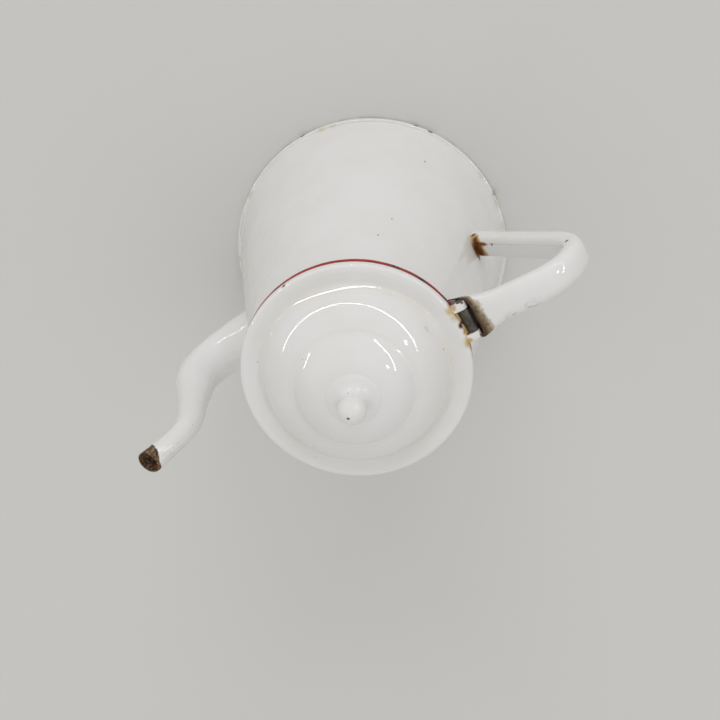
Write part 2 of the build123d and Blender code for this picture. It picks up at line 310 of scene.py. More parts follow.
def steel(name, dark, light, rust_share):
    """Bare steel that has dulled, with rust in blotches."""
    material, shader, place = surface(name)
    tone = cloud(place, 2.6, detail=6.0, roughness=0.65)
    drawn_out = vector_math("MULTIPLY", place, (0.5, 6.0, 6.0))
    grain = cloud(drawn_out, 1.0, roughness=0.5)
    colour = blend(ramp(tone, 0.35, 0.65), dark, light)
    colour = blend(ramp(grain, 0.5, 0.75, 0.0, 0.35), colour, light)
    blotch = cloud(place, 1.9, detail=7.0, roughness=0.7)
    rusty = ramp(blotch, 0.68 - 0.3 * rust_share, 0.78 - 0.3 * rust_share)
    rust = blend(ramp(grain, 0.4, 0.6), RUST_BROWN, RUST_ORANGE)
    looks = {
        "Base Color": blend(rusty, colour, rust),
        "Metallic": ramp(rusty, 0.0, 1.0, 0.5, 0.0),
        "Roughness": ramp(tone, 0.3, 0.7, 0.34, 0.6),
        "Normal": relief(blotch, 0.45, 0.3),
    }
    fill(shader, looks)
    return material


# %% [markdown]
# ## Turned pieces
#
# Shell, foot, rim, lid, collar and knob are all round about the pot's axis, so each is an outline that
# turns. The outline is drawn once as a chain of points with a radius for each corner, because fired
# enamel has no sharp edge. Geometry Nodes carry it round a circle, with a slow unevenness pushed into the
# sheet, as hand spinning and firing leave it.


# %% Draw outlines
def softened(points, closed=False, steps=5):
    """Turns (x, y, radius) corners into a chain of points with round corners."""
    chain = []
    for index, (x, y, radius) in enumerate(points):
        corner = Vector((x, y))
        if radius == 0 or (not closed and index in (0, len(points) - 1)):
            chain.append(corner)
            continue
        back = Vector(points[index - 1][:2]) - corner
        ahead = Vector(points[(index + 1) % len(points)][:2]) - corner
        half = back.angle(ahead) / 2
        reach = min(radius / tan(half), back.length * 0.48, ahead.length * 0.48)
        back, ahead = back.normalized(), ahead.normalized()
        centre = corner + (back + ahead).normalized() * (reach / cos(half))
        start, end = corner + back * reach - centre, corner + ahead * reach - centre
        for step in range(steps + 1):
            spoke = start.lerp(end, step / steps).normalized() * start.length
            chain.append(centre + spoke)
    return chain


def bow(start, end, height, steps=14):
    """Corners along a shallow arc from start to end, without its ends, standing off on the right."""
    start, end = Vector(start), Vector(end)
    chord = end - start
    side = Vector((chord.y, -chord.x)).normalized()
    shares = [step / steps for step in range(1, steps)]
    arc = [start + chord * s + side * height * 4 * s * (1 - s) for s in shares]
    return [(point.x, point.y, 0) for point in arc]


def circle_points(centre, radius, start=0, end=360, steps=28):
    """Points on a circle, from one angle to another in degrees."""
    angles = [radians(start + (end - start) * k / steps) for k in range(steps + (end - start != 360))]
    return [(centre[0] + radius * cos(a), centre[1] + radius * sin(a)) for a in angles]


# %% Start, end and apply a tree of Geometry Nodes
def new_object(name, mesh):
    piece = bpy.data.objects.new(name, mesh)
    bpy.context.scene.collection.objects.link(piece)
    return piece


def new_tree(name, takes, inputs, gives):
    """A tree that turns one geometry into another: the tree, its inputs and their identifiers."""
    tree = bpy.data.node_groups.new(name, "GeometryNodeTree")
    tree.is_modifier = True
    sockets = [(takes, "INPUT", "Geometry")] + [(label, "INPUT", kind) for label, kind in inputs.items()]
    identifiers = {
        label: tree.interface.new_socket(label, in_out=way, socket_type="NodeSocket" + kind).identifier
        for label, way, kind in sockets + [(gives, "OUTPUT", "Geometry")]
    }
    return tree, tree.nodes.new("NodeGroupInput").outputs, identifiers


def hand_out(name, geometry, finish):
    """Ends a tree: copies are made real, and the mesh gets its finish."""
    real = add("GeometryNodeRealizeInstances", {"Geometry": geometry})
    dressed = add("GeometryNodeSetMaterial", {"Geometry": real, "Material": finish})
    add("NodeGroupOutput", {name: dressed})


def apply_tree(piece, tree, identifiers, values):
    """Puts a tree on a piece, with a value for each named input."""
    modifier = piece.modifiers.new(tree.name, "NODES")
    modifier.node_group = tree
    for label, value in values.items():
        modifier[identifiers[label]] = value
    return piece


# %% Turn an outline with Geometry Nodes
def turning_tree():
    """Carries an outline (radius, 0, height) round Z, pushes it about a little and shades it smooth."""
    inputs = {"Sides": "Int", "Unevenness": "Float", "Wavelength": "Float", "Finish": "Material"}
    tree, given, identifiers = new_tree("turned_sheet", "Outline", inputs, "Piece")
    ring = 0.1
    chain = add("GeometryNodeMeshToCurve", {"Mesh": given["Outline"]})
    place = add("GeometryNodeInputPosition", tree=tree)
    x, _, z = axes(place)
    flat = {"X": math("SUBTRACT", x, ring), "Y": times(z, -1.0)}
    flat = add("ShaderNodeCombineXYZ", flat)
    outline = add("GeometryNodeSetPosition", {"Geometry": chain, "Position": flat})
    circle = add("GeometryNodeCurvePrimitiveCircle", {"Resolution": given["Sides"], "Radius": ring})
    turned = add("GeometryNodeCurveToMesh", {"Curve": circle, "Profile Curve": outline})
    turned = add("GeometryNodeMergeByDistance", {"Geometry": turned, "Distance": 1e-6})
    fineness = math("DIVIDE", 1.0, given["Wavelength"])
    wave = add("ShaderNodeTexNoise", {"Vector": place, "Scale": fineness, "Detail": 1.0})
    push = times(math("SUBTRACT", wave, 0.5), given["Unevenness"])
    offset = vector_math("SCALE", add("GeometryNodeInputNormal", tree=tree), Scale=push)
    turned = add("GeometryNodeSetPosition", {"Geometry": turned, "Offset": offset})
    turned = add("GeometryNodeSetShadeSmooth", {"Geometry": turned})
    hand_out("Piece", turned, given["Finish"])
    return tree, identifiers


TURNING = turning_tree()


def turned(name, outline, finish, closed=False, sides=192, unevenness=0.0, wavelength=40.0):
    """A piece whose outline (radius, height) turns about the pot's axis."""
    mesh = bpy.data.meshes.new(name)
    last = len(outline) - 1
    links = [(i, i + 1) for i in range(last)] + ([(last, 0)] if closed else [])
    mesh.from_pydata([(point[0] * MM, 0, point[1] * MM) for point in outline], links, [])
    values = {"Sides": sides, "Unevenness": unevenness * MM, "Wavelength": wavelength * MM, "Finish": finish}
    return apply_tree(new_object(name, mesh), *TURNING, values)


# %% Finish a piece
def settle(piece, sharp=40):
    """Applies the piece's modifiers, closes it, points its faces outwards and marks its sharp edges."""
    bpy.context.view_layer.update()
    shaped = piece.evaluated_get(bpy.context.evaluated_depsgraph_get())
    mesh = bpy.data.meshes.new_from_object(shaped)
    piece.modifiers.clear()
    piece.data = mesh
    mesh.name = piece.name
    work = bmesh.new()
    work.from_mesh(mesh)
    bmesh.ops.remove_doubles(work, verts=work.verts, dist=1e-6)
    bmesh.ops.recalc_face_normals(work, faces=work.faces)
    for face in work.faces:
        face.smooth = True
    open_edges = sum(1 for edge in work.edges if len(edge.link_faces) != 2)
    work.to_mesh(mesh)
    work.free()
    mesh.set_sharp_from_angle(angle=radians(sharp))
    print(f"{piece.name}: {len(mesh.polygons)} faces, {open_edges} open edges")
    return piece


def dress(piece, body, slot, *nodes):
    """Rides on a body and stands for its solids, where it has any; the slot argument is not used."""
    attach(piece, body)
    if nodes:
        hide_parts(*nodes)


# %% [markdown]
# ## The shell, its foot and its rim
#
# The shell is one tapered sheet. Its tail is folded into the foot, and its top is rolled over a wire and
# dipped again in red. Behind the spout the sheet is pierced with rings of small holes, which hold the
# grounds back: a pattern on rings, so Geometry Nodes place a punch at each point and cut them all at once.

# %% Where the enamel is worn
RIM_WEAR = [
    (-37.5, 39.5, 164.4, 3.2), (-32.0, 44.0, 164.6, 3.6), (-26.0, 47.8, 164.4, 3.4),
    (-14.0, 52.5, 163.6, 2.2), (13.5, 52.6, 164.0, 3.2), (-52.0, -14.0, 163.2, 2.0),
    (-22.0, -49.5, 163.0, 2.6), (31.0, -44.0, 163.2, 3.0), (46.0, 28.5, 163.4, 2.8),
]
HANDLE_FOOT_RUST = [
    (-5.9, 65.3, 76.5, 1.1), (-4.7, 65.5, 80.8, 1.8), (-2.6, 65.5, 81.8, 2.4),
    (-0.5, 65.3, 82.0, 3.0), (2.0, 65.2, 82.0, 3.4), (4.5, 64.9, 81.0, 2.8),
]
SHELL_FOOT_RUST = [(x, y - 0.8, z - 1.2, r * 0.55) for x, y, z, r in HANDLE_FOOT_RUST]
BODY_CHIPS = [
    (-42.1, 55.6, 39.0, 0.42), (-44.3, 32.8, 131.6, 0.35), (-43.1, 39.0, 113.1, 0.3),
    (-12.0, -68.0, 30.0, 0.7),
]
FOOT_FILMS = [
    (-75.6, 9.0, 4.4, 3.6), (-75.0, 15.0, 5.0, 3.0), (-61.0, -45.5, 4.5, 3.6),
    (6.0, 75.8, 4.5, 5.0), (-12.0, 75.0, 6.0, 4.0), (20.0, 73.2, 4.5, 3.6),
    (52.0, -55.0, 4.5, 4.0), (-30.0, -69.5, 4.5, 3.0),
]
SHELL_FILMS = FOOT_FILMS + [(0.0, 65.0, 72.0, 9.0), (0.0, -71.0, 37.0, 4.0)]

# %% The shell
COFFEE_BROWN = (0.40, 0.27, 0.15)
COFFEE_HEIGHT = 118.0


def straight(start, end, steps=34):
    """Corners along a straight run, ends left out, so that the sheet can be uneven between them."""
    start, end = Vector(start), Vector(end)
    return [(*start.lerp(end, step / steps), 0) for step in range(1, steps)]


def inside_stain(place, colour, gloss, pit):
    """Coffee has stained the inside up to where it stood."""
    out, height = from_axis(place)
    taper = (RIM_RADIUS - TAIL_RADIUS) / (RIM_HEIGHT - HEM_HEIGHT)
    skin = math("MULTIPLY_ADD", height, taper, TAIL_RADIUS)
    within = ramp(math("SUBTRACT", skin, out), 0.4, 1.0)
    ragged_height = math("MULTIPLY_ADD", cloud(place, 14.0), 10.0, height)
    filled = ramp(ragged_height, COFFEE_HEIGHT, COFFEE_HEIGHT + 8, 0.5, 0.1)
    patchy = ramp(cloud(place, 7.0, detail=6.0), 0.3, 0.7, 0.5, 1.0)
    return blend(times(within, filled, patchy), colour, COFFEE_BROWN), gloss, pit


shell_white = white_enamel(
    "shell_enamel", BODY_CHIPS, SHELL_FILMS, SHELL_FOOT_RUST, extra=inside_stain, film_depth=0.2
)
tail_inside = TAIL_RADIUS - SHEET
shell_corners = [(TAIL_RADIUS, SHEET, 0), (TAIL_RADIUS, HEM_HEIGHT, 0)]
shell_corners += straight((TAIL_RADIUS, HEM_HEIGHT), (RIM_RADIUS, RIM_HEIGHT))
shell_corners += [(RIM_RADIUS, RIM_HEIGHT, 0), (MOUTH_RADIUS, RIM_HEIGHT, 0)]
shell_corners += straight((MOUTH_RADIUS, RIM_HEIGHT), (tail_inside, HEM_HEIGHT))
shell_corners += [(tail_inside, HEM_HEIGHT, 0), (tail_inside, SHEET, 0)]
shell = turned("shell", softened(shell_corners, closed=True), shell_white, closed=True, unevenness=0.3)
settle(shell)

# %% Pierce the strainer
STRAINER_HEIGHT = 54.0
HOLE_RINGS, HOLE_PITCH, HOLE_RADIUS = 2, 4.6, 1.5
PUNCH_LENGTH = 40.0


def piercing_tree(height, reach):
    """Cuts rings of round holes through the sheet that faces -Y, at a height and a reach in metres."""
    tree, given, identifiers = new_tree("strainer", "Sheet", {"Hole radius": "Float"}, "Pierced")
    middle = add("GeometryNodeMeshCircle", {"Vertices": 3, "Radius": 0.0}, tree=tree)
    rings = [add("GeometryNodeMergeByDistance", {"Geometry": middle, "Distance": 1e-5})]
    for ring in range(1, HOLE_RINGS + 1):
        size = {"Vertices": 6 * ring, "Radius": ring * HOLE_PITCH * MM}
        rings.append(add("GeometryNodeMeshCircle", size, tree=tree))
    points = add("GeometryNodeJoinGeometry", tree=tree)
    for ring in rings:
        tree.links.new(ring, points.node.inputs[0])
    punch = {"Vertices": 20, "Radius": given["Hole radius"], "Depth": PUNCH_LENGTH * MM}
    punch = add("GeometryNodeMeshCylinder", punch)
    punches = add("GeometryNodeInstanceOnPoints", {"Points": points, "Instance": punch})
    place = {"Geometry": punches, "Translation": (0, -reach, height), "Rotation": (pi / 2, 0, 0)}
    punches = add("GeometryNodeTransform", place)
    punches = add("GeometryNodeRealizeInstances", {"Geometry": punches})
    sheets = {"Mesh 1": given["Sheet"], "Mesh 2": punches}
    pierced = add("GeometryNodeMeshBoolean", sheets, operation="DIFFERENCE")
    hand_out("Pierced", pierced, shell_white)
    return tree, identifiers


strainer = piercing_tree(STRAINER_HEIGHT * MM, shell_radius(STRAINER_HEIGHT) * MM)
apply_tree(shell, *strainer, {"Hole radius": HOLE_RADIUS * MM})
dress(settle(shell), "pot", "white_enamel", "pot_body")


# %% The foot and the base
def standing_wear(place, colour, gloss, pit):
    """The foot's lowest edge has rubbed through to the iron in stretches."""
    out, height = from_axis(place)
    low = ramp(height, 0.1, 1.1, 1.0, 0.0)
    ring = ramp(out, 71.5, 73.5)
    patchy = ramp(cloud(place, 8.0, detail=8.0, roughness=0.7), 0.45, 0.56)
    bare = times(low, ring, patchy)
    iron = rusty_iron(cloud(place, 1.5), 0.4, 0.6)
    colour, gloss = show_iron(colour, gloss, bare, iron, 0.7)
    return colour, gloss, larger(pit, bare)


FOOT_CHIPS = [
    (-76.4, -3.1, 1.6, 1.3), (-46.5, 60.8, 2.2, 1.2), (-53.0, 55.2, 1.4, 1.0), (1.0, 76.5, 2.0, 1.5),
    (64.0, 42.0, 1.5, 1.6), (-20.0, -73.8, 1.8, 1.2), (70.5, -29.6, 2.6, 0.9),
]
foot_white = white_enamel("foot_enamel", FOOT_CHIPS, FOOT_FILMS, extra=standing_wear, film_depth=0.24)
fold_inside = tail_inside - SHEET
foot_corners = [
    (0, BASE_RECESS, 0),
    (fold_inside, BASE_RECESS, 1.2),
    (fold_inside, 0, 1.0),
    (FOOT_RADIUS, 0, 1.0),
    (FOOT_RADIUS, HEM_HEIGHT, 0.7),
    (TAIL_RADIUS, HEM_HEIGHT, 0),
    (TAIL_RADIUS, SHEET, 0),
    (tail_inside, SHEET, 0),
    (tail_inside, BASE_RECESS + SHEET, 0),
    (0, BASE_RECESS + SHEET, 0),
]
foot = turned("foot", softened(foot_corners), foot_white)
dress(settle(foot), "pot", "white_enamel", "base_plate")

# %% The rim
bead = circle_points((MOUTH_RADIUS + BEAD_RADIUS, RIM_HEIGHT), BEAD_RADIUS)
rim = turned("rim", bead, red_enamel(), closed=True, sides=224, unevenness=0.25, wavelength=9.0)
dress(settle(rim), "pot", "red_enamel", "rim_bead")

# %% [markdown]
# ## The lid, its collar and its knob
#
# The lid is spun in steps: a rolled edge, a flat band, then one dome on another. Each step is a crease
# where the sheet turns, and the enamel pools there, so the creases are wide and soft. Dirt stays in the
# creases, mostly in the lower one, and its colour follows the distance from the axis.

# %% The lid
LID_WALL = 1.0
lid_roll = (LID_RADIUS, 0, 0.45)
lower_dome, upper_dome = ((42.9, 6.2), (28.6, 21.0)), ((27.4, 21.7), (11.8, 30.5))
lid_corners = [lid_roll, (LID_RADIUS, 4.2, 2.4), (50.5, 4.15, 5.0), (45.2, 3.2, 2.4), (*lower_dome[0], 2.6)]
lid_corners += bow(*lower_dome, 2.3)
lid_corners += [(*lower_dome[1], 2.2), (*upper_dome[0], 2.6)]
lid_corners += bow(*upper_dome, 1.8)
lid_corners += [(*upper_dome[1], 3.0), (0, 30.8, 0)]
inside = [(r - LID_WALL, z - LID_WALL, c) for r, z, c in reversed(lid_corners) if z > LID_WALL]
inside[0] = (0, inside[0][1], 0)
inside.append((LID_RADIUS - LID_WALL, *lid_roll[1:]))
lid_outline = [(r, z + LID_EDGE, c) for r, z, c in inside + lid_corners]
CREASES = ((44.4, 2.4, 0.34), (29.4, 1.2, 0.12))


def crease_dirt(place, colour, gloss, pit):
    """Beige dirt in the lid's two creases."""
    out, _ = from_axis(place)
    patchy = ramp(cloud(place, 11.0, detail=4.0), 0.3, 0.6, 0.3, 1.0)
    for radius, half_width, most in CREASES:
        off = math("ABSOLUTE", math("SUBTRACT", out, radius))
        line = ramp(off, 0.2, half_width, most, 0.0)
        colour = blend(times(line, patchy), colour, CREAM)
    return colour, gloss, pit


LID_CHIPS = [
    (5.5, 42.3, 173.2, 0.35), (20.6, -32.8, 179.8, 0.3), (0.0, 53.9, 169.6, 1.1),
    (-53.0, -9.0, 168.8, 0.7), (34.0, 41.6, 167.0, 1.0), (12.0, -52.6, 167.4, 0.8),
]
LID_FILMS = [
    (-8.6, 53.5, 168.6, 3.4), (-5.2, 53.9, 168.4, 3.2), (4.0, 53.9, 168.6, 1.8),
    (8.8, 53.4, 168.4, 3.4), (11.5, 52.8, 167.6, 2.2), (0.0, 54.0, 168.0, 1.6),
]
LID_RUST = [(-6.6, 54.2, 168.0, 1.3), (9.6, 53.7, 167.6, 1.1), (12.2, 53.0, 166.6, 1.3)]
LID_GRIME = [(-7.8, 40.5, 176.1, 1.2)]
lid_white = white_enamel("lid_enamel", LID_CHIPS, LID_FILMS, LID_RUST, LID_GRIME, crease_dirt, 0.42)
lid = turned("lid_shell", softened(lid_outline), lid_white, sides=224, unevenness=0.12, wavelength=34.0)
dress(settle(lid), "lid", "white_enamel", "lid")

# %% The collar
COLLAR_OUT, COLLAR_IN = 47.4, 46.4
COLLAR_LOW, COLLAR_HIGH = LID_EDGE - 8.5, LID_EDGE + 3.2
collar_corners = [
    (COLLAR_OUT, COLLAR_LOW, 0.3), (COLLAR_OUT, COLLAR_HIGH, 0),
    (COLLAR_IN, COLLAR_HIGH, 0), (COLLAR_IN, COLLAR_LOW, 0.3),
]
collar = turned("collar", softened(collar_corners, closed=True), lid_white, closed=True)
dress(settle(collar), "lid", "white_enamel", "lid_collar")

# %% The knob
knob_white = white_enamel("knob_enamel", [(0.3, -1.6, 213.7, 0.45)])
ball_radius, neck_radius, ball_height = 6.5, 5.6, 10.6
waist = ball_height - sqrt(ball_radius**2 - neck_radius**2)
knob_corners = [(0, -0.6, 0), (12.4, -0.6, 0), (12.3, -0.12, 0), (10.6, 0.75, 2.5)]
knob_corners += bow((10.6, 0.75), (neck_radius, waist), -1.5)
knob_corners += [(neck_radius, waist, 1.6)]
from_waist = asin((waist - ball_height) / ball_radius)
for step in range(1, 20):
    angle = from_waist + (pi / 2 - from_waist) * step / 20
    knob_corners.append((ball_radius * cos(angle), ball_height + ball_radius * sin(angle), 0))
knob_corners.append((0, ball_height + ball_radius, 0))
knob_corners = [(r, z + LID_TOP, c) for r, z, c in knob_corners]
knob = turned("lid_knob", softened(knob_corners), knob_white, sides=96)
dress(settle(knob), "lid", "white_enamel", "knob")

# %% [markdown]
# ## Tubes: the spout and the handle
#
# Neither tube has the same section from end to end, so each is built ring by ring: a ring of points lies
# square to the path at each step, the next ring is joined to it, and a second set of rings inside gives
# the wall. Small rings on half a circle round each lip.


# %% Join rings into a closed skin
def sleeve(name, rings, finishes, inner=range(0), marks=None, strip=False):
    """A closed mesh through rings of points in millimetres, the last ring joined to the first.

    Faces that start at an inner ring get the second finish; marks are a number for each point. In a strip
    the rings are open rows, and a cap closes each end.
    """
    count, around = len(rings), len(rings[0])
    faces = []
    for i in range(count):
        for j in range(around - strip):
            k, m = (i + 1) % count, (j + 1) % around
            faces.append((i * around + j, i * around + m, k * around + m, k * around + j))
    if strip:
        faces.append([i * around for i in range(count)])
        faces.append([i * around + around - 1 for i in reversed(range(count))])
    mesh = bpy.data.meshes.new(name)
    mesh.from_pydata([point * MM for ring in rings for point in ring], [], faces)
    for finish in finishes:
        mesh.materials.append(finish)
    for face in mesh.polygons:
        face.material_index = 1 if face.index // around in inner else 0
    if marks:
        layer = mesh.attributes.new("bare", "FLOAT", "POINT")
        layer.data.foreach_set("value", [mark for ring in marks for mark in ring])
    return new_object(name, mesh)


def lip(outer, inner, ahead, steps=5):
    """Rings that turn from the outer ring over to the inner one, bulging ahead."""
    rings = []
    for step in range(1, steps):
        angle = pi * step / steps
        ring = []
        for far, near in zip(outer, inner):
            middle = (far + near) / 2
            ring.append(middle + (far - middle) * cos(angle) + ahead * ((far - near).length / 2 * sin(angle)))
        rings.append(ring)
    return rings


# %% Paths with round bends
def arc_path(corners, radii, step):
    """Points and directions along straight runs in the YZ plane with round corners."""
    points = [Vector(corner) for corner in corners]
    path, start = [], points[0]
    for index, radius in enumerate(radii + [None], 1):
        corner = end = points[index]
        if radius:
            back, ahead = (points[index - 1] - corner).normalized(), (points[index + 1] - corner).normalized()
            half = back.angle(ahead) / 2
            end = corner + back * (radius / tan(half))
        heading = (end - start).normalized()
        count = max(2, round((end - start).length / step))
        path += [(start.lerp(end, k / count), heading) for k in range(count)]
        if radius:
            start = corner + ahead * (radius / tan(half))
            centre = corner + (back + ahead).normalized() * (radius / sin(half))
            first, last = end - centre, start - centre
            turn = atan2(first.x * last.y - first.y * last.x, first.dot(last))
            count = max(4, round(abs(turn) * first.length / step))
            for k in range(count):
                spoke = Matrix.Rotation(turn * k / count, 2) @ first
                side = Vector((-spoke.y, spoke.x)).normalized() * (1 if turn > 0 else -1)
                path.append((centre + spoke, side))
    return path + [(points[-1], heading)]


def lengths_along(path):
    """Length from the path's start to each of its points."""
    total, found = 0.0, [0.0]
    for (before, _), (after, _) in zip(path, path[1:]):
        total += (after - before).length
        found.append(total)
    return found


def eased_path(path, reach):
    """Averages each point with its neighbours, so that runs and bends flow into each other."""
    last = len(path) - 1
    places = []
    for index in range(last + 1):
        span = min(reach, index, last - index)
        near = [path[k][0] for k in range(index - span, index + span + 1)]
        places.append(sum(near, Vector((0, 0))) / len(near))
    soft = []
    for index, place in enumerate(places):
        before, after = places[max(index - 1, 0)], places[min(index + 1, last)]
        soft.append((place, (after - before).normalized()))
    return soft


def section(place, ahead, outline):
    """A ring of points square to a path in the YZ plane: outline's x lies along X, its y away to the left."""
    side = Vector((-ahead.y, ahead.x))
    return [Vector((x, place.x + side.x * y, place.y + side.y * y)) for x, y in outline]


# %% The spout's path: a level root, an elbow, a riser and an outward tip
SPOUT_WALL = 1.1
SPOUT_STATIONS = [(0, 31.5), (0.21, 23.6), (0.31, 23.0), (0.62, 14.8), (0.86, 11.0), (1, 12.4)]
root = -shell_radius(STRAINER_HEIGHT)
spout_corners = [
    (root + 2.4, STRAINER_HEIGHT), (root - 39.2, STRAINER_HEIGHT), (-95.2, 143.1), (-116.6, 162.4),
]
ELBOW, TIP_BEND = 24.0, 25.0
SPOUT_STEP, SPOUT_EASING = 1.0, 9
spout_path = eased_path(arc_path(spout_corners, [ELBOW, TIP_BEND], SPOUT_STEP), SPOUT_EASING)
spout_lengths = lengths_along(spout_path)
print("the spout's path is", round(spout_lengths[-1], 1), "mm long")


def station_radius(share):
    """Outer radius in a soft taper from each station to the next."""
    share = min(max(share, 0), 1)
    for (near, first), (far, last) in zip(SPOUT_STATIONS, SPOUT_STATIONS[1:]):
        if share <= far:
            along = (share - near) / (far - near)
            return (first + (last - first) * (along + smooth(along)) / 2) / 2
    return SPOUT_STATIONS[-1][1] / 2


def spout_radius(share):
    """The stations' radius, averaged a little way up and down the spout."""
    spread = min(0.05, share, 1 - share)
    return sum(station_radius(share + spread * k / 4) for k in range(-4, 5)) / 9


# %% Rings for the spout
def on_shell(point, lift):
    """Slides a point along Y on to the shell's outside, lift millimetres off it."""
    radius = shell_radius(point.z) + lift
    return Vector((point.x, -sqrt(radius**2 - point.x**2) * (1 if point.y < 0 else -1), point.z))


def round_outline(radius, sides=96):
    return [(radius * sin(2 * pi * k / sides), radius * cos(2 * pi * k / sides)) for k in range(sides)]


FINE_RUN, FINE_STEPS, LIP_BULGE = 15.0, 45, 0.6
SEAM_DEPTH, SEAM_SHOULDER = 0.1, 0.03
TIP_SLOPE = tan(radians(18))
tip_end, tip_heading = spout_path[-1]
whole = spout_lengths[-1]
spout_steps = [(*spot, run) for spot, run in zip(spout_path, spout_lengths) if run < whole - FINE_RUN - 0.6]
for step in range(FINE_STEPS + 1):
    left = FINE_RUN * (1 - step / FINE_STEPS)
    spout_steps.append((tip_end - tip_heading * left, tip_heading, whole - left))


def level_off(ring, centre, heading, run):
    """Leans the rings back towards the tip, so that the spout's mouth is cut nearer to level than square."""
    lean = smooth((run - whole + FINE_RUN) / FINE_RUN) * TIP_SLOPE
    along = Vector((0, *heading))
    below = Vector((0, -heading.y, heading.x))
    low = spout_radius(1)
    return [point + along * ((point - centre).dot(below) - low) * lean for point in ring]


spout_outer, spout_inner = [], []
for place, heading, run in spout_steps:
    radius = spout_radius(run / whole)
    ring = section(place, heading, round_outline(radius))
    centre = Vector((0, *place))
    for seam in (0, len(ring) // 2):
        for index, depth in ((seam - 1, SEAM_SHOULDER), (seam, SEAM_DEPTH), (seam + 1, SEAM_SHOULDER)):
            ring[index] -= (ring[index] - centre).normalized() * depth
    spout_outer.append(level_off(ring, centre, heading, run))
    bore = section(place, heading, round_outline(radius - SPOUT_WALL))
    spout_inner.append(level_off(bore, centre, heading, run))

# %% [markdown]
# The tip is where the spout is knocked most: its enamel has flaked off in one ragged band, down to rusty
# iron a little lower than the glass. The flaking is a number on each point, made with a noise. It pushes
# the surface in, and the material reads it too, so the step and the colour fall in the same place.

# %% Flake the enamel off the tip
BARE_LENGTH, LEAST_BARE, BARE_LEAN = 3.2, 1.0, 0.75
BARE_SIDE = Vector((-0.924, -0.256, -0.284))
EDGE_RUN = 0.5
ENAMEL, PITTING, PIT_FINENESS = 0.28, 0.1, 1.1
RAGGED_EDGE = ((0.6, 0.42), (0.35, 1.1), (0.3, 2.3))
RUSTY_BORE, BORE_FADE = 26.0, 8.0


def flaked(point, length):
    """1 where the enamel is gone, near the tip, 0 where it holds."""
    for reach, fineness in RAGGED_EDGE:
        length -= reach * noise.noise(point * fineness)
    tip = Vector((0, *spout_steps[-1][0]))
    bare = max(BARE_LENGTH + BARE_LEAN * (point - tip).dot(BARE_SIDE), LEAST_BARE)
    return smooth((bare - length) / EDGE_RUN + 0.5)


marks, inner_marks = [], []
for (place, heading, run), ring in zip(spout_steps, spout_outer):
    near = whole - run < FINE_RUN
    row = [flaked(point, whole - run) if near else 0.0 for point in ring]
    centre = Vector((0, *place))
    for index, bare in enumerate(row):
        pitted = PITTING * noise.noise(ring[index] * PIT_FINENESS)
        ring[index] -= (ring[index] - centre).normalized() * (ENAMEL + pitted) * bare
    marks.append(row)
    inner_marks.append([smooth((RUSTY_BORE - whole + run) / BORE_FADE)] * len(ring))

# %% The spout
GRITTY = [(4.0, -108.0, 156.0, 8.0), (3.0, -103.0, 151.0, 5.0)]


def tip_finish(place, colour, gloss, pit):
    """Rusty iron where the enamel has flaked, and grains fired into the glass behind it."""
    bare = add("ShaderNodeAttribute", tree=place.id_data, attribute_name="bare").node.outputs["Fac"]
    rim = ramp(bare, 0.02, 0.4)
    grain = cloud(place, 1.4, detail=7.0, roughness=0.7)
    iron = blend(ramp(grain, 0.42, 0.50), (0.022, 0.015, 0.009), (0.13, 0.065, 0.026))
    iron = blend(ramp(grain, 0.51, 0.60), iron, (0.30, 0.21, 0.12))
    iron = blend(ramp(cloud(place, 3.4), 0.56, 0.66), iron, (0.30, 0.085, 0.012))
    colour = blend(times(rim, 0.8), colour, RUST_BROWN)
    colour = blend(ramp(bare, 0.3, 0.6), colour, iron)
    gloss = larger(gloss, times(rim, 0.7))
    pit = larger(pit, times(rim, ramp(grain, 0.35, 0.65)))
    grains = ramp(cloud(place, 1.1, detail=2.0), 0.48, 0.62)
    return colour, gloss, larger(pit, times(ball_masks(place, GRITTY, 0.6), grains, 0.9))


outside = [ring for ring in spout_outer if all(-point.y > shell_radius(point.z) + 0.3 for point in ring)]
first = len(spout_outer) - len(outside)
seat, seat_inside = ([on_shell(point, 0.03) for point in side[first]] for side in (spout_outer, spout_inner))
spout_lip = lip(spout_outer[-1], spout_inner[-1], Vector((0, *tip_heading)) * LIP_BULGE)
spout_rings = [seat] + spout_outer[first:] + spout_lip + spout_inner[first:][::-1] + [seat_inside]
none, full = [0.0] * len(seat), [1.0] * len(seat)
ring_marks = [none] + marks[first:] + [full] * len(spout_lip) + inner_marks[first:][::-1] + [none]
SPOUT_CHIPS = [(4.8, -87.4, 65.8, 0.55), (4.6, -110.0, 153.6, 0.5)]
spout_white = white_enamel("spout_enamel", SPOUT_CHIPS, extra=tip_finish)
spout = sleeve("spout", spout_rings, [spout_white], marks=ring_marks)
dress(settle(spout), "pot", "white_enamel", "spout_half_left", "spout_half_right")

# %% [markdown]
# The handle is a strip rolled into a flattened tube. Its upper end is left open and flares into a mouth
# that takes the hinge, and it is cut on a slant there. Its lower end is brushed with enamel on to the
# shell, and a grooved seam runs up the inner side of the lower arm. The open lid comes to rest on a small
# flat at the top of the mouth.

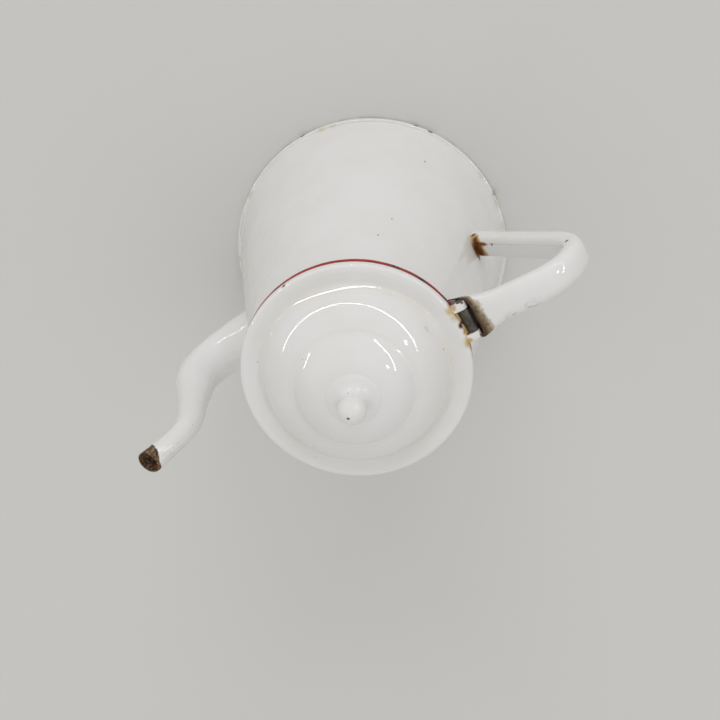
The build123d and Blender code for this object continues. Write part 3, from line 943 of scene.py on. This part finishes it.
# %% The handle's path
HANDLE_TOP = 165.3
HANDLE_REACH = 113.3
BEND = 20.0
HANDLE_DEPTH = 10.0
HANDLE_WALL = 1.2
MOUTH_TOP_REACH = 63.0
MOUTH_SLANT = 7.0
SLANT_END = 79.0
TOP_FACE = HANDLE_TOP + HANDLE_DEPTH / 2
LOW_FACE = HANDLE_TOP - HANDLE_DEPTH / 2
CUT_SLOPE = MOUTH_SLANT / (HANDLE_DEPTH - HANDLE_WALL)
FOOT_HEIGHT = 72.5
HANDLE_STEP, HANDLE_EASING = 1.6, 5
foot_place = Vector((shell_radius(FOOT_HEIGHT), FOOT_HEIGHT))
bend_centre = Vector((HANDLE_REACH - BEND, HANDLE_TOP - BEND))
span = bend_centre - foot_place
arm_angle = atan2(span.y, span.x) - asin(BEND / span.length)
corner_y = foot_place.x + (HANDLE_TOP - foot_place.y) / tan(arm_angle)
arm_end = foot_place - Vector((cos(arm_angle), sin(arm_angle))) * HANDLE_DEPTH
handle_corners = [(SLANT_END, HANDLE_TOP), (corner_y, HANDLE_TOP), arm_end]
handle_path = eased_path(arc_path(handle_corners, [BEND], HANDLE_STEP), HANDLE_EASING)
handle_lengths = lengths_along(handle_path)
print("the lower arm rises at", round(degrees(arm_angle), 1), "degrees")

# %% The handle's section
FLARE_START, FLARE_RUN = 54.8, 20.0
WIDTH, NARROWING, FLARE = 15.4, 3.0, 7.0
SQUARENESS, SQUARER_MOUTH = 2.7, 0.9
SEAM_X, SEAM_HALF, SEAM_GROOVE = -2.8, 0.07, 0.28


def squarish(width, depth, power, groove, sides=64):
    """A rounded oblong with a grooved seam on its inner side: the higher the power, the squarer."""
    seam = pi + asin(abs(2 * SEAM_X / width) ** (power / 2))
    angles = [seam, seam + SEAM_HALF]
    angles += [seam + 2 * pi * k / sides for k in range(1, sides)] + [seam - SEAM_HALF]
    outline = []
    for angle in angles:
        spots = ((width, sin(angle)), (depth, cos(angle)))
        outline.append(tuple(size / 2 * abs(s) ** (2 / power) * (1 if s > 0 else -1) for size, s in spots))
    outline[0] = (outline[0][0], outline[0][1] + groove)
    return outline


def handle_outline(run, share, inset):
    """The section at a length from the flare's start and a share of the whole, drawn in by inset."""
    flare = 1 - smooth(run / FLARE_RUN)
    width = WIDTH - NARROWING * smooth(share) + FLARE * flare
    groove = 0 if inset else SEAM_GROOVE * smooth((share - 0.1) / 0.1)
    power = SQUARENESS + SQUARER_MOUTH * flare
    return squarish(width - 2 * inset, HANDLE_DEPTH - 2 * inset, power, groove)


# %% The handle's rings
SLANT_START, SLANT_STEPS = 59.0, 14
ARM_CLEARANCE, SLIDE_STEP, SEAT_GAP = 0.4, 0.05, 0.05


def slanted_ring(share, inset):
    """A ring slanted as the mouth is at share 0, and square to the path at share 1."""
    ring = []
    for x, y in handle_outline(SLANT_START + (SLANT_END - SLANT_START) * share - FLARE_START, 0, inset):
        z = HANDLE_TOP + y
        mouth_y = MOUTH_TOP_REACH - CUT_SLOPE * (TOP_FACE - z)
        ring.append(Vector((x, mouth_y + (SLANT_END - mouth_y) * share, z)))
    return ring


handle_runs = [length + SLANT_END - FLARE_START for length in handle_lengths]


def handle_rings(inset):
    rings = [slanted_ring(step / SLANT_STEPS, inset) for step in range(SLANT_STEPS)]
    for (place, ahead), run in zip(handle_path, handle_runs):
        rings.append(section(place, ahead, handle_outline(run, run / handle_runs[-1], inset)))
    return stop_at_shell(rings)


def off_shell(point):
    """How far a point stands off the shell's outside."""
    return hypot(point.x, point.y) - shell_radius(point.z)


def stop_at_shell(rings):
    """Cuts the lower arm off just short of the shell and slides its last ring down to it."""
    kept = []
    for ring in rings:
        if min(off_shell(point) for point in ring) <= ARM_CLEARANCE:
            break
        kept.append(ring)
    slide = Vector((0, -cos(arm_angle), -sin(arm_angle))) * SLIDE_STEP
    last = [point.copy() for point in kept[-1]]
    for point in last:
        while off_shell(point) > SEAT_GAP:
            point += slide
    return kept + [last]


# %% The handle's finish
SCORCH = [
    (2.4, 4.6, 0.85, (0.36, 0.27, 0.16)),
    (1.2, 3.2, 0.85, (0.15, 0.085, 0.036)),
    (0.2, 1.7, 0.9, (0.06, 0.026, 0.009)),
]


def mouth_scorch(place, colour, gloss, pit):
    """Rust creeps out of the mouth over the enamel: beige, then brown, then nearly black at the edge."""
    x, y, z = axes(place)
    edge = math("MULTIPLY_ADD", z, -CUT_SLOPE, CUT_SLOPE * TOP_FACE - MOUTH_TOP_REACH)
    back = math("MULTIPLY_ADD", x, -0.07, math("ADD", edge, y))
    back = math("ADD", back, ramp(cloud(place, 3.5, detail=2.0), 0.3, 0.7, -0.7, 0.7))
    for inside, reach, most, brown in SCORCH:
        colour = blend(ramp(back, inside, reach, most, 0.0), colour, brown)
    return colour, larger(gloss, ramp(back, 0.5, 4.0, 0.6, 0.0)), pit


HANDLE_CHIPS = [(-7.1, 111.3, 146.4, 0.75), (-2.8, 73.4, 92.9, 0.55), (10.2, 60.2, 168.0, 0.6)]
HANDLE_FILMS = [(-5.6, 65.2, 78.6, 2.6), (-3.6, 65.6, 81.0, 3.0), (2.5, 67.4, 84.4, 2.8)]
SEAM_RUST = [(-2.75, 67.2 + 0.75 * k, 84.6 + 1.1 * k, 1.0 - 0.11 * k) for k in range(7)]
HANDLE_RUST = HANDLE_FOOT_RUST + SEAM_RUST
HANDLE_GRIME = [
    (5.6, 88.0, 169.0, 2.6), (5.4, 85.0, 169.0, 1.8), (6.4, 76.5, 168.6, 2.6),
    (7.6, 73.0, 168.3, 1.8), (9.2, 67.5, 168.0, 2.2), (10.2, 64.0, 167.6, 1.8),
]
handle_white = white_enamel(
    "handle_enamel", HANDLE_CHIPS, HANDLE_FILMS, HANDLE_RUST, HANDLE_GRIME, mouth_scorch
)

# %% The handle
LID_REST, LID_REST_END, REST_SLOPE = 169.3, 62.6, 0.5
handle_outer, handle_inner = handle_rings(0), handle_rings(HANDLE_WALL)
for ring in handle_outer:
    for point in ring:
        point.z = min(point.z, LID_REST + REST_SLOPE * max(point.y - LID_REST_END, 0))
mouth_lip = lip(handle_inner[0], handle_outer[0], Vector((0, -1, 0)))
rings = handle_inner[::-1] + mouth_lip + handle_outer
finishes = [handle_white, rusty_inside("mouth_rust")]
handle = sleeve("handle_tube", rings, finishes, inner=range(len(handle_inner) + 1))
dress(settle(handle), "pot", "white_enamel", "handle")

# %% [markdown]
# Where two edges of sheet meet, the glass doesn't quite close, and a row of dark pinholes shows along the
# seam. They repeat along a path, so Geometry Nodes set a small dome of iron at each point of it, turned to
# the surface, some larger than others and some left out.


# %% A tree that sets pinholes along a seam
def pinhole_tree():
    kinds = {"Spacing": "Float", "Pinhole radius": "Float", "Share kept": "Float", "Seed": "Int"}
    tree, given, identifiers = new_tree("seam_pinholes", "Seam", kinds | {"Finish": "Material"}, "Pinholes")
    seed = given["Seed"]
    line = add("GeometryNodeMeshToCurve", {"Mesh": given["Seam"]})
    points = {"Curve": line, "Length": given["Spacing"]}
    points = add("GeometryNodeResampleCurve", points, mode="LENGTH")
    outward = {"Name": "outward"}
    outward = add("GeometryNodeInputNamedAttribute", outward, tree=tree, data_type="FLOAT_VECTOR")
    facing = add("FunctionNodeAlignRotationToVector", {"Vector": outward}, axis="Z")
    kept = {"Probability": given["Share kept"], "Seed": seed}
    kept = add("FunctionNodeRandomValue", kept, data_type="BOOLEAN").node.outputs[3]
    size = add("FunctionNodeRandomValue", {2: 0.45, 3: 1.3, "Seed": seed}).node.outputs[1]
    dome = {"Segments": 10, "Rings": 6, "Radius": given["Pinhole radius"]}
    dome = add("GeometryNodeMeshUVSphere", dome)
    dome = add("GeometryNodeTransform", {"Geometry": dome, "Scale": (1.0, 1.0, 0.35)})
    holes = {"Points": points, "Selection": kept, "Instance": dome, "Rotation": facing, "Scale": size}
    hand_out("Pinholes", add("GeometryNodeInstanceOnPoints", holes), given["Finish"])
    return tree, identifiers


PINHOLES = pinhole_tree()
pinhole_iron = steel("pinhole_iron", (0.022, 0.018, 0.015), (0.05, 0.04, 0.03), 0.3)


def pinholes(name, seam, spacing, radius, share, seed):
    """A row of pinholes along a seam, given as points with the direction that faces out."""
    mesh = bpy.data.meshes.new(name)
    mesh.from_pydata([point * MM for point, _ in seam], [(i, i + 1) for i in range(len(seam) - 1)], [])
    layer = mesh.attributes.new("outward", "FLOAT_VECTOR", "POINT")
    layer.data.foreach_set("vector", [value for _, out in seam for value in out])
    values = {"Spacing": spacing * MM, "Pinhole radius": radius * MM, "Share kept": share, "Seed": seed}
    piece = apply_tree(new_object(name, mesh), *PINHOLES, values | {"Finish": pinhole_iron})
    dress(settle(piece), "pot", "bare_steel")


# %% Pinholes along the handle's and the spout's seams
HANDLE_PITS, HANDLE_PITS_LEFT = 88, 19
SPOUT_PITS, SPOUT_PITS_LEFT = 0.5 * whole, 9
handle_seam, spout_seam = [], []
for (place, heading), length, run in zip(handle_path, handle_lengths, handle_runs):
    if HANDLE_PITS < length < handle_lengths[-1] - HANDLE_PITS_LEFT:
        out = Vector((0, heading.y, -heading.x))
        x, y = handle_outline(run, run / handle_runs[-1], 0)[0]
        handle_seam.append((Vector((x, *place)) - out * y, out))
pinholes("handle_seam_pinholes", handle_seam, spacing=1.4, radius=0.24, share=0.55, seed=7)
for place, heading, run in spout_steps:
    if SPOUT_PITS < run < whole - SPOUT_PITS_LEFT:
        out = Vector((0, heading.y, -heading.x))
        spout_seam.append((Vector((0, *place)) + out * (spout_radius(run / whole) - SEAM_DEPTH), out))
pinholes("spout_seam_pinholes", spout_seam, spacing=1.3, radius=0.13, share=0.5, seed=3)


# %% The tongue under the rim
def bar(name, outline, x_low, x_high, rounding, finish, hole=None):
    """A flat outline in the YZ plane, given thickness along X, with rounded edges."""
    curve = bpy.data.curves.new(name, "CURVE")
    curve.dimensions = "2D"
    curve.fill_mode = "BOTH"
    for loop in [outline] + ([hole] if hole else []):
        spline = curve.splines.new("POLY")
        spline.points.add(len(loop) - 1)
        for point, (y, z) in zip(spline.points, loop):
            point.co = (y * MM, z * MM, 0, 1)
        spline.use_cyclic_u = True
    curve.extrude = (x_high - x_low) / 2 * MM - rounding * MM
    curve.bevel_depth = rounding * MM
    curve.bevel_resolution = 2
    curve.offset = -rounding * MM
    source = new_object(name + "_curve", curve)
    bpy.context.view_layer.update()
    mesh = bpy.data.meshes.new_from_object(source.evaluated_get(bpy.context.evaluated_depsgraph_get()))
    bpy.data.objects.remove(source)
    turn = Matrix(((0, 0, 1, 0), (1, 0, 0, 0), (0, 1, 0, 0), (0, 0, 0, 1)))
    mesh.transform(Matrix.Translation(((x_low + x_high) / 2 * MM, 0, 0)) @ turn)
    mesh.materials.clear()
    mesh.materials.append(finish)
    return new_object(name, mesh)


FLOOR_TOP = LOW_FACE + HANDLE_WALL
TONGUE_HALF = 10.0
TONGUE_TAPER, TAPER_START = 0.017, 54.0
tongue_in = shell_radius(LOW_FACE - 2.5) + 0.1
tongue_outline = [
    (59.5, LOW_FACE + 0.1), (59.5, FLOOR_TOP), (58.5, FLOOR_TOP),
    (tongue_in, FLOOR_TOP - 2.6), (tongue_in, LOW_FACE - 2.6), (58.5, LOW_FACE + 0.1),
]


def shade_and_bare_edges(place, colour, gloss, pit):
    """The tongue is darkened with painted shade, and its two side edges are worn to the iron."""
    x, y, _ = axes(place)
    side = math("SUBTRACT", y, TAPER_START)
    side = math("MULTIPLY_ADD", side, TONGUE_HALF * TONGUE_TAPER, math("ABSOLUTE", x))
    side = math("ADD", side, ramp(cloud(place, 2.0, detail=4.0), 0.3, 0.7, -0.25, 0.25))
    # painted shade: the whole tongue is blended towards grey-brown for the shade it lies in under the rim
    colour = blend(0.45, colour, (0.22, 0.17, 0.13))
    return *show_iron(colour, gloss, ramp(side, 9.3, 9.7), BARE_IRON, 0.7), pit


tongue_white = white_enamel("tongue_enamel", [(-8.0, 52.0, 159.4, 0.8)], extra=shade_and_bare_edges)
tongue = bar("handle_tongue", tongue_outline, -TONGUE_HALF, TONGUE_HALF, 0.25, tongue_white)
for corner in tongue.data.vertices:
    corner.co.x *= 1 - TONGUE_TAPER * max(corner.co.y / MM - TAPER_START, 0)
dress(settle(tongue), "pot", "white_enamel")

# %% [markdown]
# ## The hinge
#
# Two ears on the lid hold a pin, and the knuckle between them belongs to a strap of bare steel that is
# fixed inside the handle's mouth. Each is a flat outline with thickness, so a filled curve does it: its
# bevel rounds the edges as filing does.

# %% The knuckle and its strap
PIVOT = (HINGE.y, HINGE.z)
KNUCKLE, KNUCKLE_BORE, KNUCKLE_HALF = 2.5, 1.25, 5.7
PIN_RADIUS, HEAD_RADIUS = 1.2, 1.7
PIN_HALF, HEAD_HALF = 9.6, 10.1
STRAP, STRAP_HALF = 1.2, 4.5
strap_steel = steel("strap_steel", (0.060, 0.048, 0.038), (0.125, 0.115, 0.10), 0.3)
edge, bore = circle_points(PIVOT, KNUCKLE), circle_points(PIVOT, KNUCKLE_BORE)
knuckle = bar("hinge_knuckle", edge, -KNUCKLE_HALF, KNUCKLE_HALF, 0.25, strap_steel, bore)
dress(settle(knuckle), "pot", "bare_steel", "hinge_strap")
low, laid = PIVOT[1] - KNUCKLE, FLOOR_TOP + 0.02
strap_outline = [
    (57.0, low), (60.2, low), (63.6, laid), (69.0, laid),
    (69.0, FLOOR_TOP + STRAP), (63.9, FLOOR_TOP + STRAP), (60.6, low + STRAP), (57.0, low + STRAP),
]
strap = bar("hinge_strap_leaf", strap_outline, -STRAP_HALF, STRAP_HALF, 0.2, strap_steel)
dress(settle(strap), "pot", "bare_steel")

# %% The pin
pin_steel = steel("pin_steel", (0.045, 0.043, 0.042), (0.12, 0.115, 0.11), 0.1)
pin_end = [(0, HEAD_HALF, 0), (HEAD_RADIUS - 0.2, HEAD_HALF, 0.5), (HEAD_RADIUS, PIN_HALF, 0.2)]
pin_end.append((PIN_RADIUS, PIN_HALF, 0))
pin_outline = [(r, -x, c) for r, x, c in pin_end] + pin_end[::-1]
pin = settle(turned("pin", softened(pin_outline), pin_steel, sides=32))
pin.data.transform(Matrix.Translation(HINGE * MM) @ Matrix.Rotation(pi / 2, 4, "Y"))
dress(pin, "lid", "bare_steel", "hinge_pin")

# %% The ears and the web on the lid
LEAF_FILMS = [
    (-9.0, 54.0, 168.4, 1.7), (8.6, 54.0, 168.0, 1.8), (-3.0, 54.8, 166.8, 3.4), (3.0, 54.8, 166.8, 3.4),
]
LEAF_RUST = [(-6.2, 54.6, 167.0, 1.0), (6.2, 54.6, 167.0, 0.9)]
LEAF_CHIPS = [(8.8, 59.6, 168.0, 0.5), (-9.4, 58.9, 168.6, 0.5), (-0.5, 54.8, 167.6, 0.9)]
leaf_white = white_enamel("leaf_enamel", LEAF_CHIPS, LEAF_FILMS, LEAF_RUST, film_depth=0.46)
EAR_IN, EAR_OUT = 6.0, 9.6
ear_outline = circle_points(PIVOT, KNUCKLE, -150, 90)
ear_outline += [(53.2, PIVOT[1] + KNUCKLE), (53.2, PIVOT[1] + 0.1), (55.3, PIVOT[1] - 0.2)]
ear_hole = circle_points(PIVOT, PIN_RADIUS, steps=20)
ears = [("ear_left", -EAR_OUT, -EAR_IN, "lid_hinge_leaf"), ("ear_right", EAR_IN, EAR_OUT)]
for name, x_low, x_high, *nodes in ears:
    ear = bar(name, ear_outline, x_low, x_high, 0.3, leaf_white, ear_hole)
    dress(settle(ear), "lid", "white_enamel", *nodes)
WEB_SECTION = ((53.6, 0.1), (54.6, 0.1), (54.8, 0.3), (54.8, 1.6), (54.6, 1.8), (53.6, 1.8))
half = asin(EAR_OUT / (LID_RADIUS + 0.8))
spread = [-half + 2 * half * k / 16 for k in range(17)]
web_rows = [[Vector((r * sin(a), r * cos(a), LID_EDGE + z)) for a in spread] for r, z in WEB_SECTION]
web = sleeve("leaf_web", web_rows, [leaf_white], strip=True)
dress(settle(web), "lid", "white_enamel")

# %% The wire that the rim is rolled over stays as its solid
wire_steel = steel("wire_steel", (0.20, 0.19, 0.18), (0.34, 0.33, 0.32), 0.0)
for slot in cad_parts["rim_wire"].material_slots:
    slot.material = wire_steel

# %% [markdown]
# ## The stage, the lights and the camera
#
# Under an even pale sky, a high soft sun and two lower ones light the form. They are left out of
# reflections, because a sun's round image would show in the glass. A row of narrow lamps along an arch
# shows only in reflections: it draws the bright curved streaks across the domes, and one small lamp adds
# a spot. The camera stands where the photograph's did: above the lid, a little to the handle's side.

# %% The floor and the world
FLOOR = 40.0
FLOOR_GREY, FAR_FLOOR = (0.66, 0.657, 0.64), (0.60, 0.595, 0.575)
SKY = 0.49
floor_mesh = bpy.data.meshes.new("floor")
corners = [(x * FLOOR, y * FLOOR, 0) for x, y in ((-1, -1), (1, -1), (1, 1), (-1, 1))]
floor_mesh.from_pydata(corners, [], [(0, 1, 2, 3)])
floor = new_object("floor", floor_mesh)
floor_paint, shader, _ = surface("floor_paint")
fill(shader, {"Base Color": (*FLOOR_GREY, 1), "Roughness": 0.6})
floor_mesh.materials.append(floor_paint)
world = bpy.data.worlds.new("studio")
bpy.context.scene.world = world
world.use_nodes = True
sky = world.node_tree
seen = add("ShaderNodeLightPath", tree=sky).node.outputs["Is Camera Ray"]
even = sky.nodes["Background"]
fill(even, {"Color": (1, 1, 1, 1), "Strength": SKY})
backdrop = add("ShaderNodeBackground", {"Color": (*FAR_FLOOR, 1), "Strength": 1.0}, tree=sky)
mixed = add("ShaderNodeMixShader", {0: seen, 1: even.outputs[0], 2: backdrop})
fill(sky.nodes["World Output"], {"Surface": mixed})

# %% Where the photograph's camera stood
RIGHT = Vector((0.46793, 0.88233, -0.05035)).normalized()
UP = Vector((-0.81405, 0.40813, -0.41323)).normalized()
BACK = RIGHT.cross(UP).normalized()
STAND = Vector((-227.06, 155.74, 755.27)) * MM
MIDDLE = Vector((0, 0, 0.11))


def seen_as(right, up, back):
    """A direction given as the camera sees it: to the right, up, and back towards the camera."""
    return (RIGHT * right + UP * up + BACK * back).normalized()


# %% The lamps
WHITE_LIGHT, WARM_LIGHT = (1.0, 1.0, 1.0), (1.0, 0.975, 0.93)
SUNS = (
    ("key", 1.1, 50, seen_as(-0.04, 0.74, 0.66), WHITE_LIGHT),
    ("low_left", 0.5, 90, seen_as(-0.6, -0.5, 0.6), WARM_LIGHT),
    ("low_right", 0.5, 90, seen_as(0.6, -0.5, 0.6), WARM_LIGHT),
)
for name, energy, spread, towards, tint in SUNS:
    sun = bpy.data.lights.new(name, "SUN")
    sun.energy, sun.angle, sun.color = energy, radians(spread), tint
    holder = new_object(name, sun)
    holder.rotation_mode = "QUATERNION"
    holder.rotation_quaternion = towards.to_track_quat("Z", "Y")
    holder.visible_glossy = False


ARCH_AXIS, ARCH_TILT, ARCH_RADIUS = (-0.25, -0.18, 0.95), radians(65), 1.1
ARCH_TUBES, ARCH_WIDTH, OVERLAP = 12, 0.017, 1.02
SPOT_AWAY, SPOT_SIZE = (0.6, -0.05, 0.8), (0.09, 0.06)
LAMP_WATTS = 0.5


def tube(name, away, along, length, width):
    """A narrow lamp that shows only in reflections: it faces the pot's middle and lies along a direction."""
    lamp = bpy.data.lights.new(name, "AREA")
    lamp.shape = "RECTANGLE"
    lamp.size, lamp.size_y = length, width
    lamp.energy = LAMP_WATTS
    holder = new_object(name, lamp)
    place = MIDDLE + away * ARCH_RADIUS
    z = (place - MIDDLE).normalized()
    x = (along - z * along.dot(z)).normalized()
    turn = Matrix((x, z.cross(x), z)).transposed().to_4x4()
    holder.matrix_world = Matrix.Translation(place) @ turn
    holder.visible_camera = False
    holder.visible_diffuse = False


axis = seen_as(*ARCH_AXIS)
across = (RIGHT - axis * RIGHT.dot(axis)).normalized()
over = axis.cross(across)
length = ARCH_RADIUS * sin(ARCH_TILT) * pi / ARCH_TUBES * OVERLAP
for k in range(ARCH_TUBES):
    turn = pi * (k + 0.5) / ARCH_TUBES
    spoke = axis * cos(ARCH_TILT) + (across * cos(turn) + over * sin(turn)) * sin(ARCH_TILT)
    tube(f"arch_{k + 1}", spoke, over * cos(turn) - across * sin(turn), length, ARCH_WIDTH)
tube("spot", seen_as(*SPOT_AWAY), UP, *SPOT_SIZE)

# %% The camera
LENS, SENSOR_WIDTH = 70.0, 36.0
NEAREST, FARTHEST = 0.01, 50.0
camera_data = bpy.data.cameras.new("camera")
camera_data.lens, camera_data.sensor_width = LENS, SENSOR_WIDTH
camera_data.clip_start, camera_data.clip_end = NEAREST, FARTHEST
camera = new_object("camera", camera_data)
turn = Matrix((RIGHT, UP, BACK)).transposed().to_4x4()
camera.matrix_world = Matrix.Translation(STAND) @ turn
bpy.context.scene.camera = camera
bpy.context.scene.view_settings.view_transform = "Standard"

# %% Update the scene
bpy.context.view_layer.update()
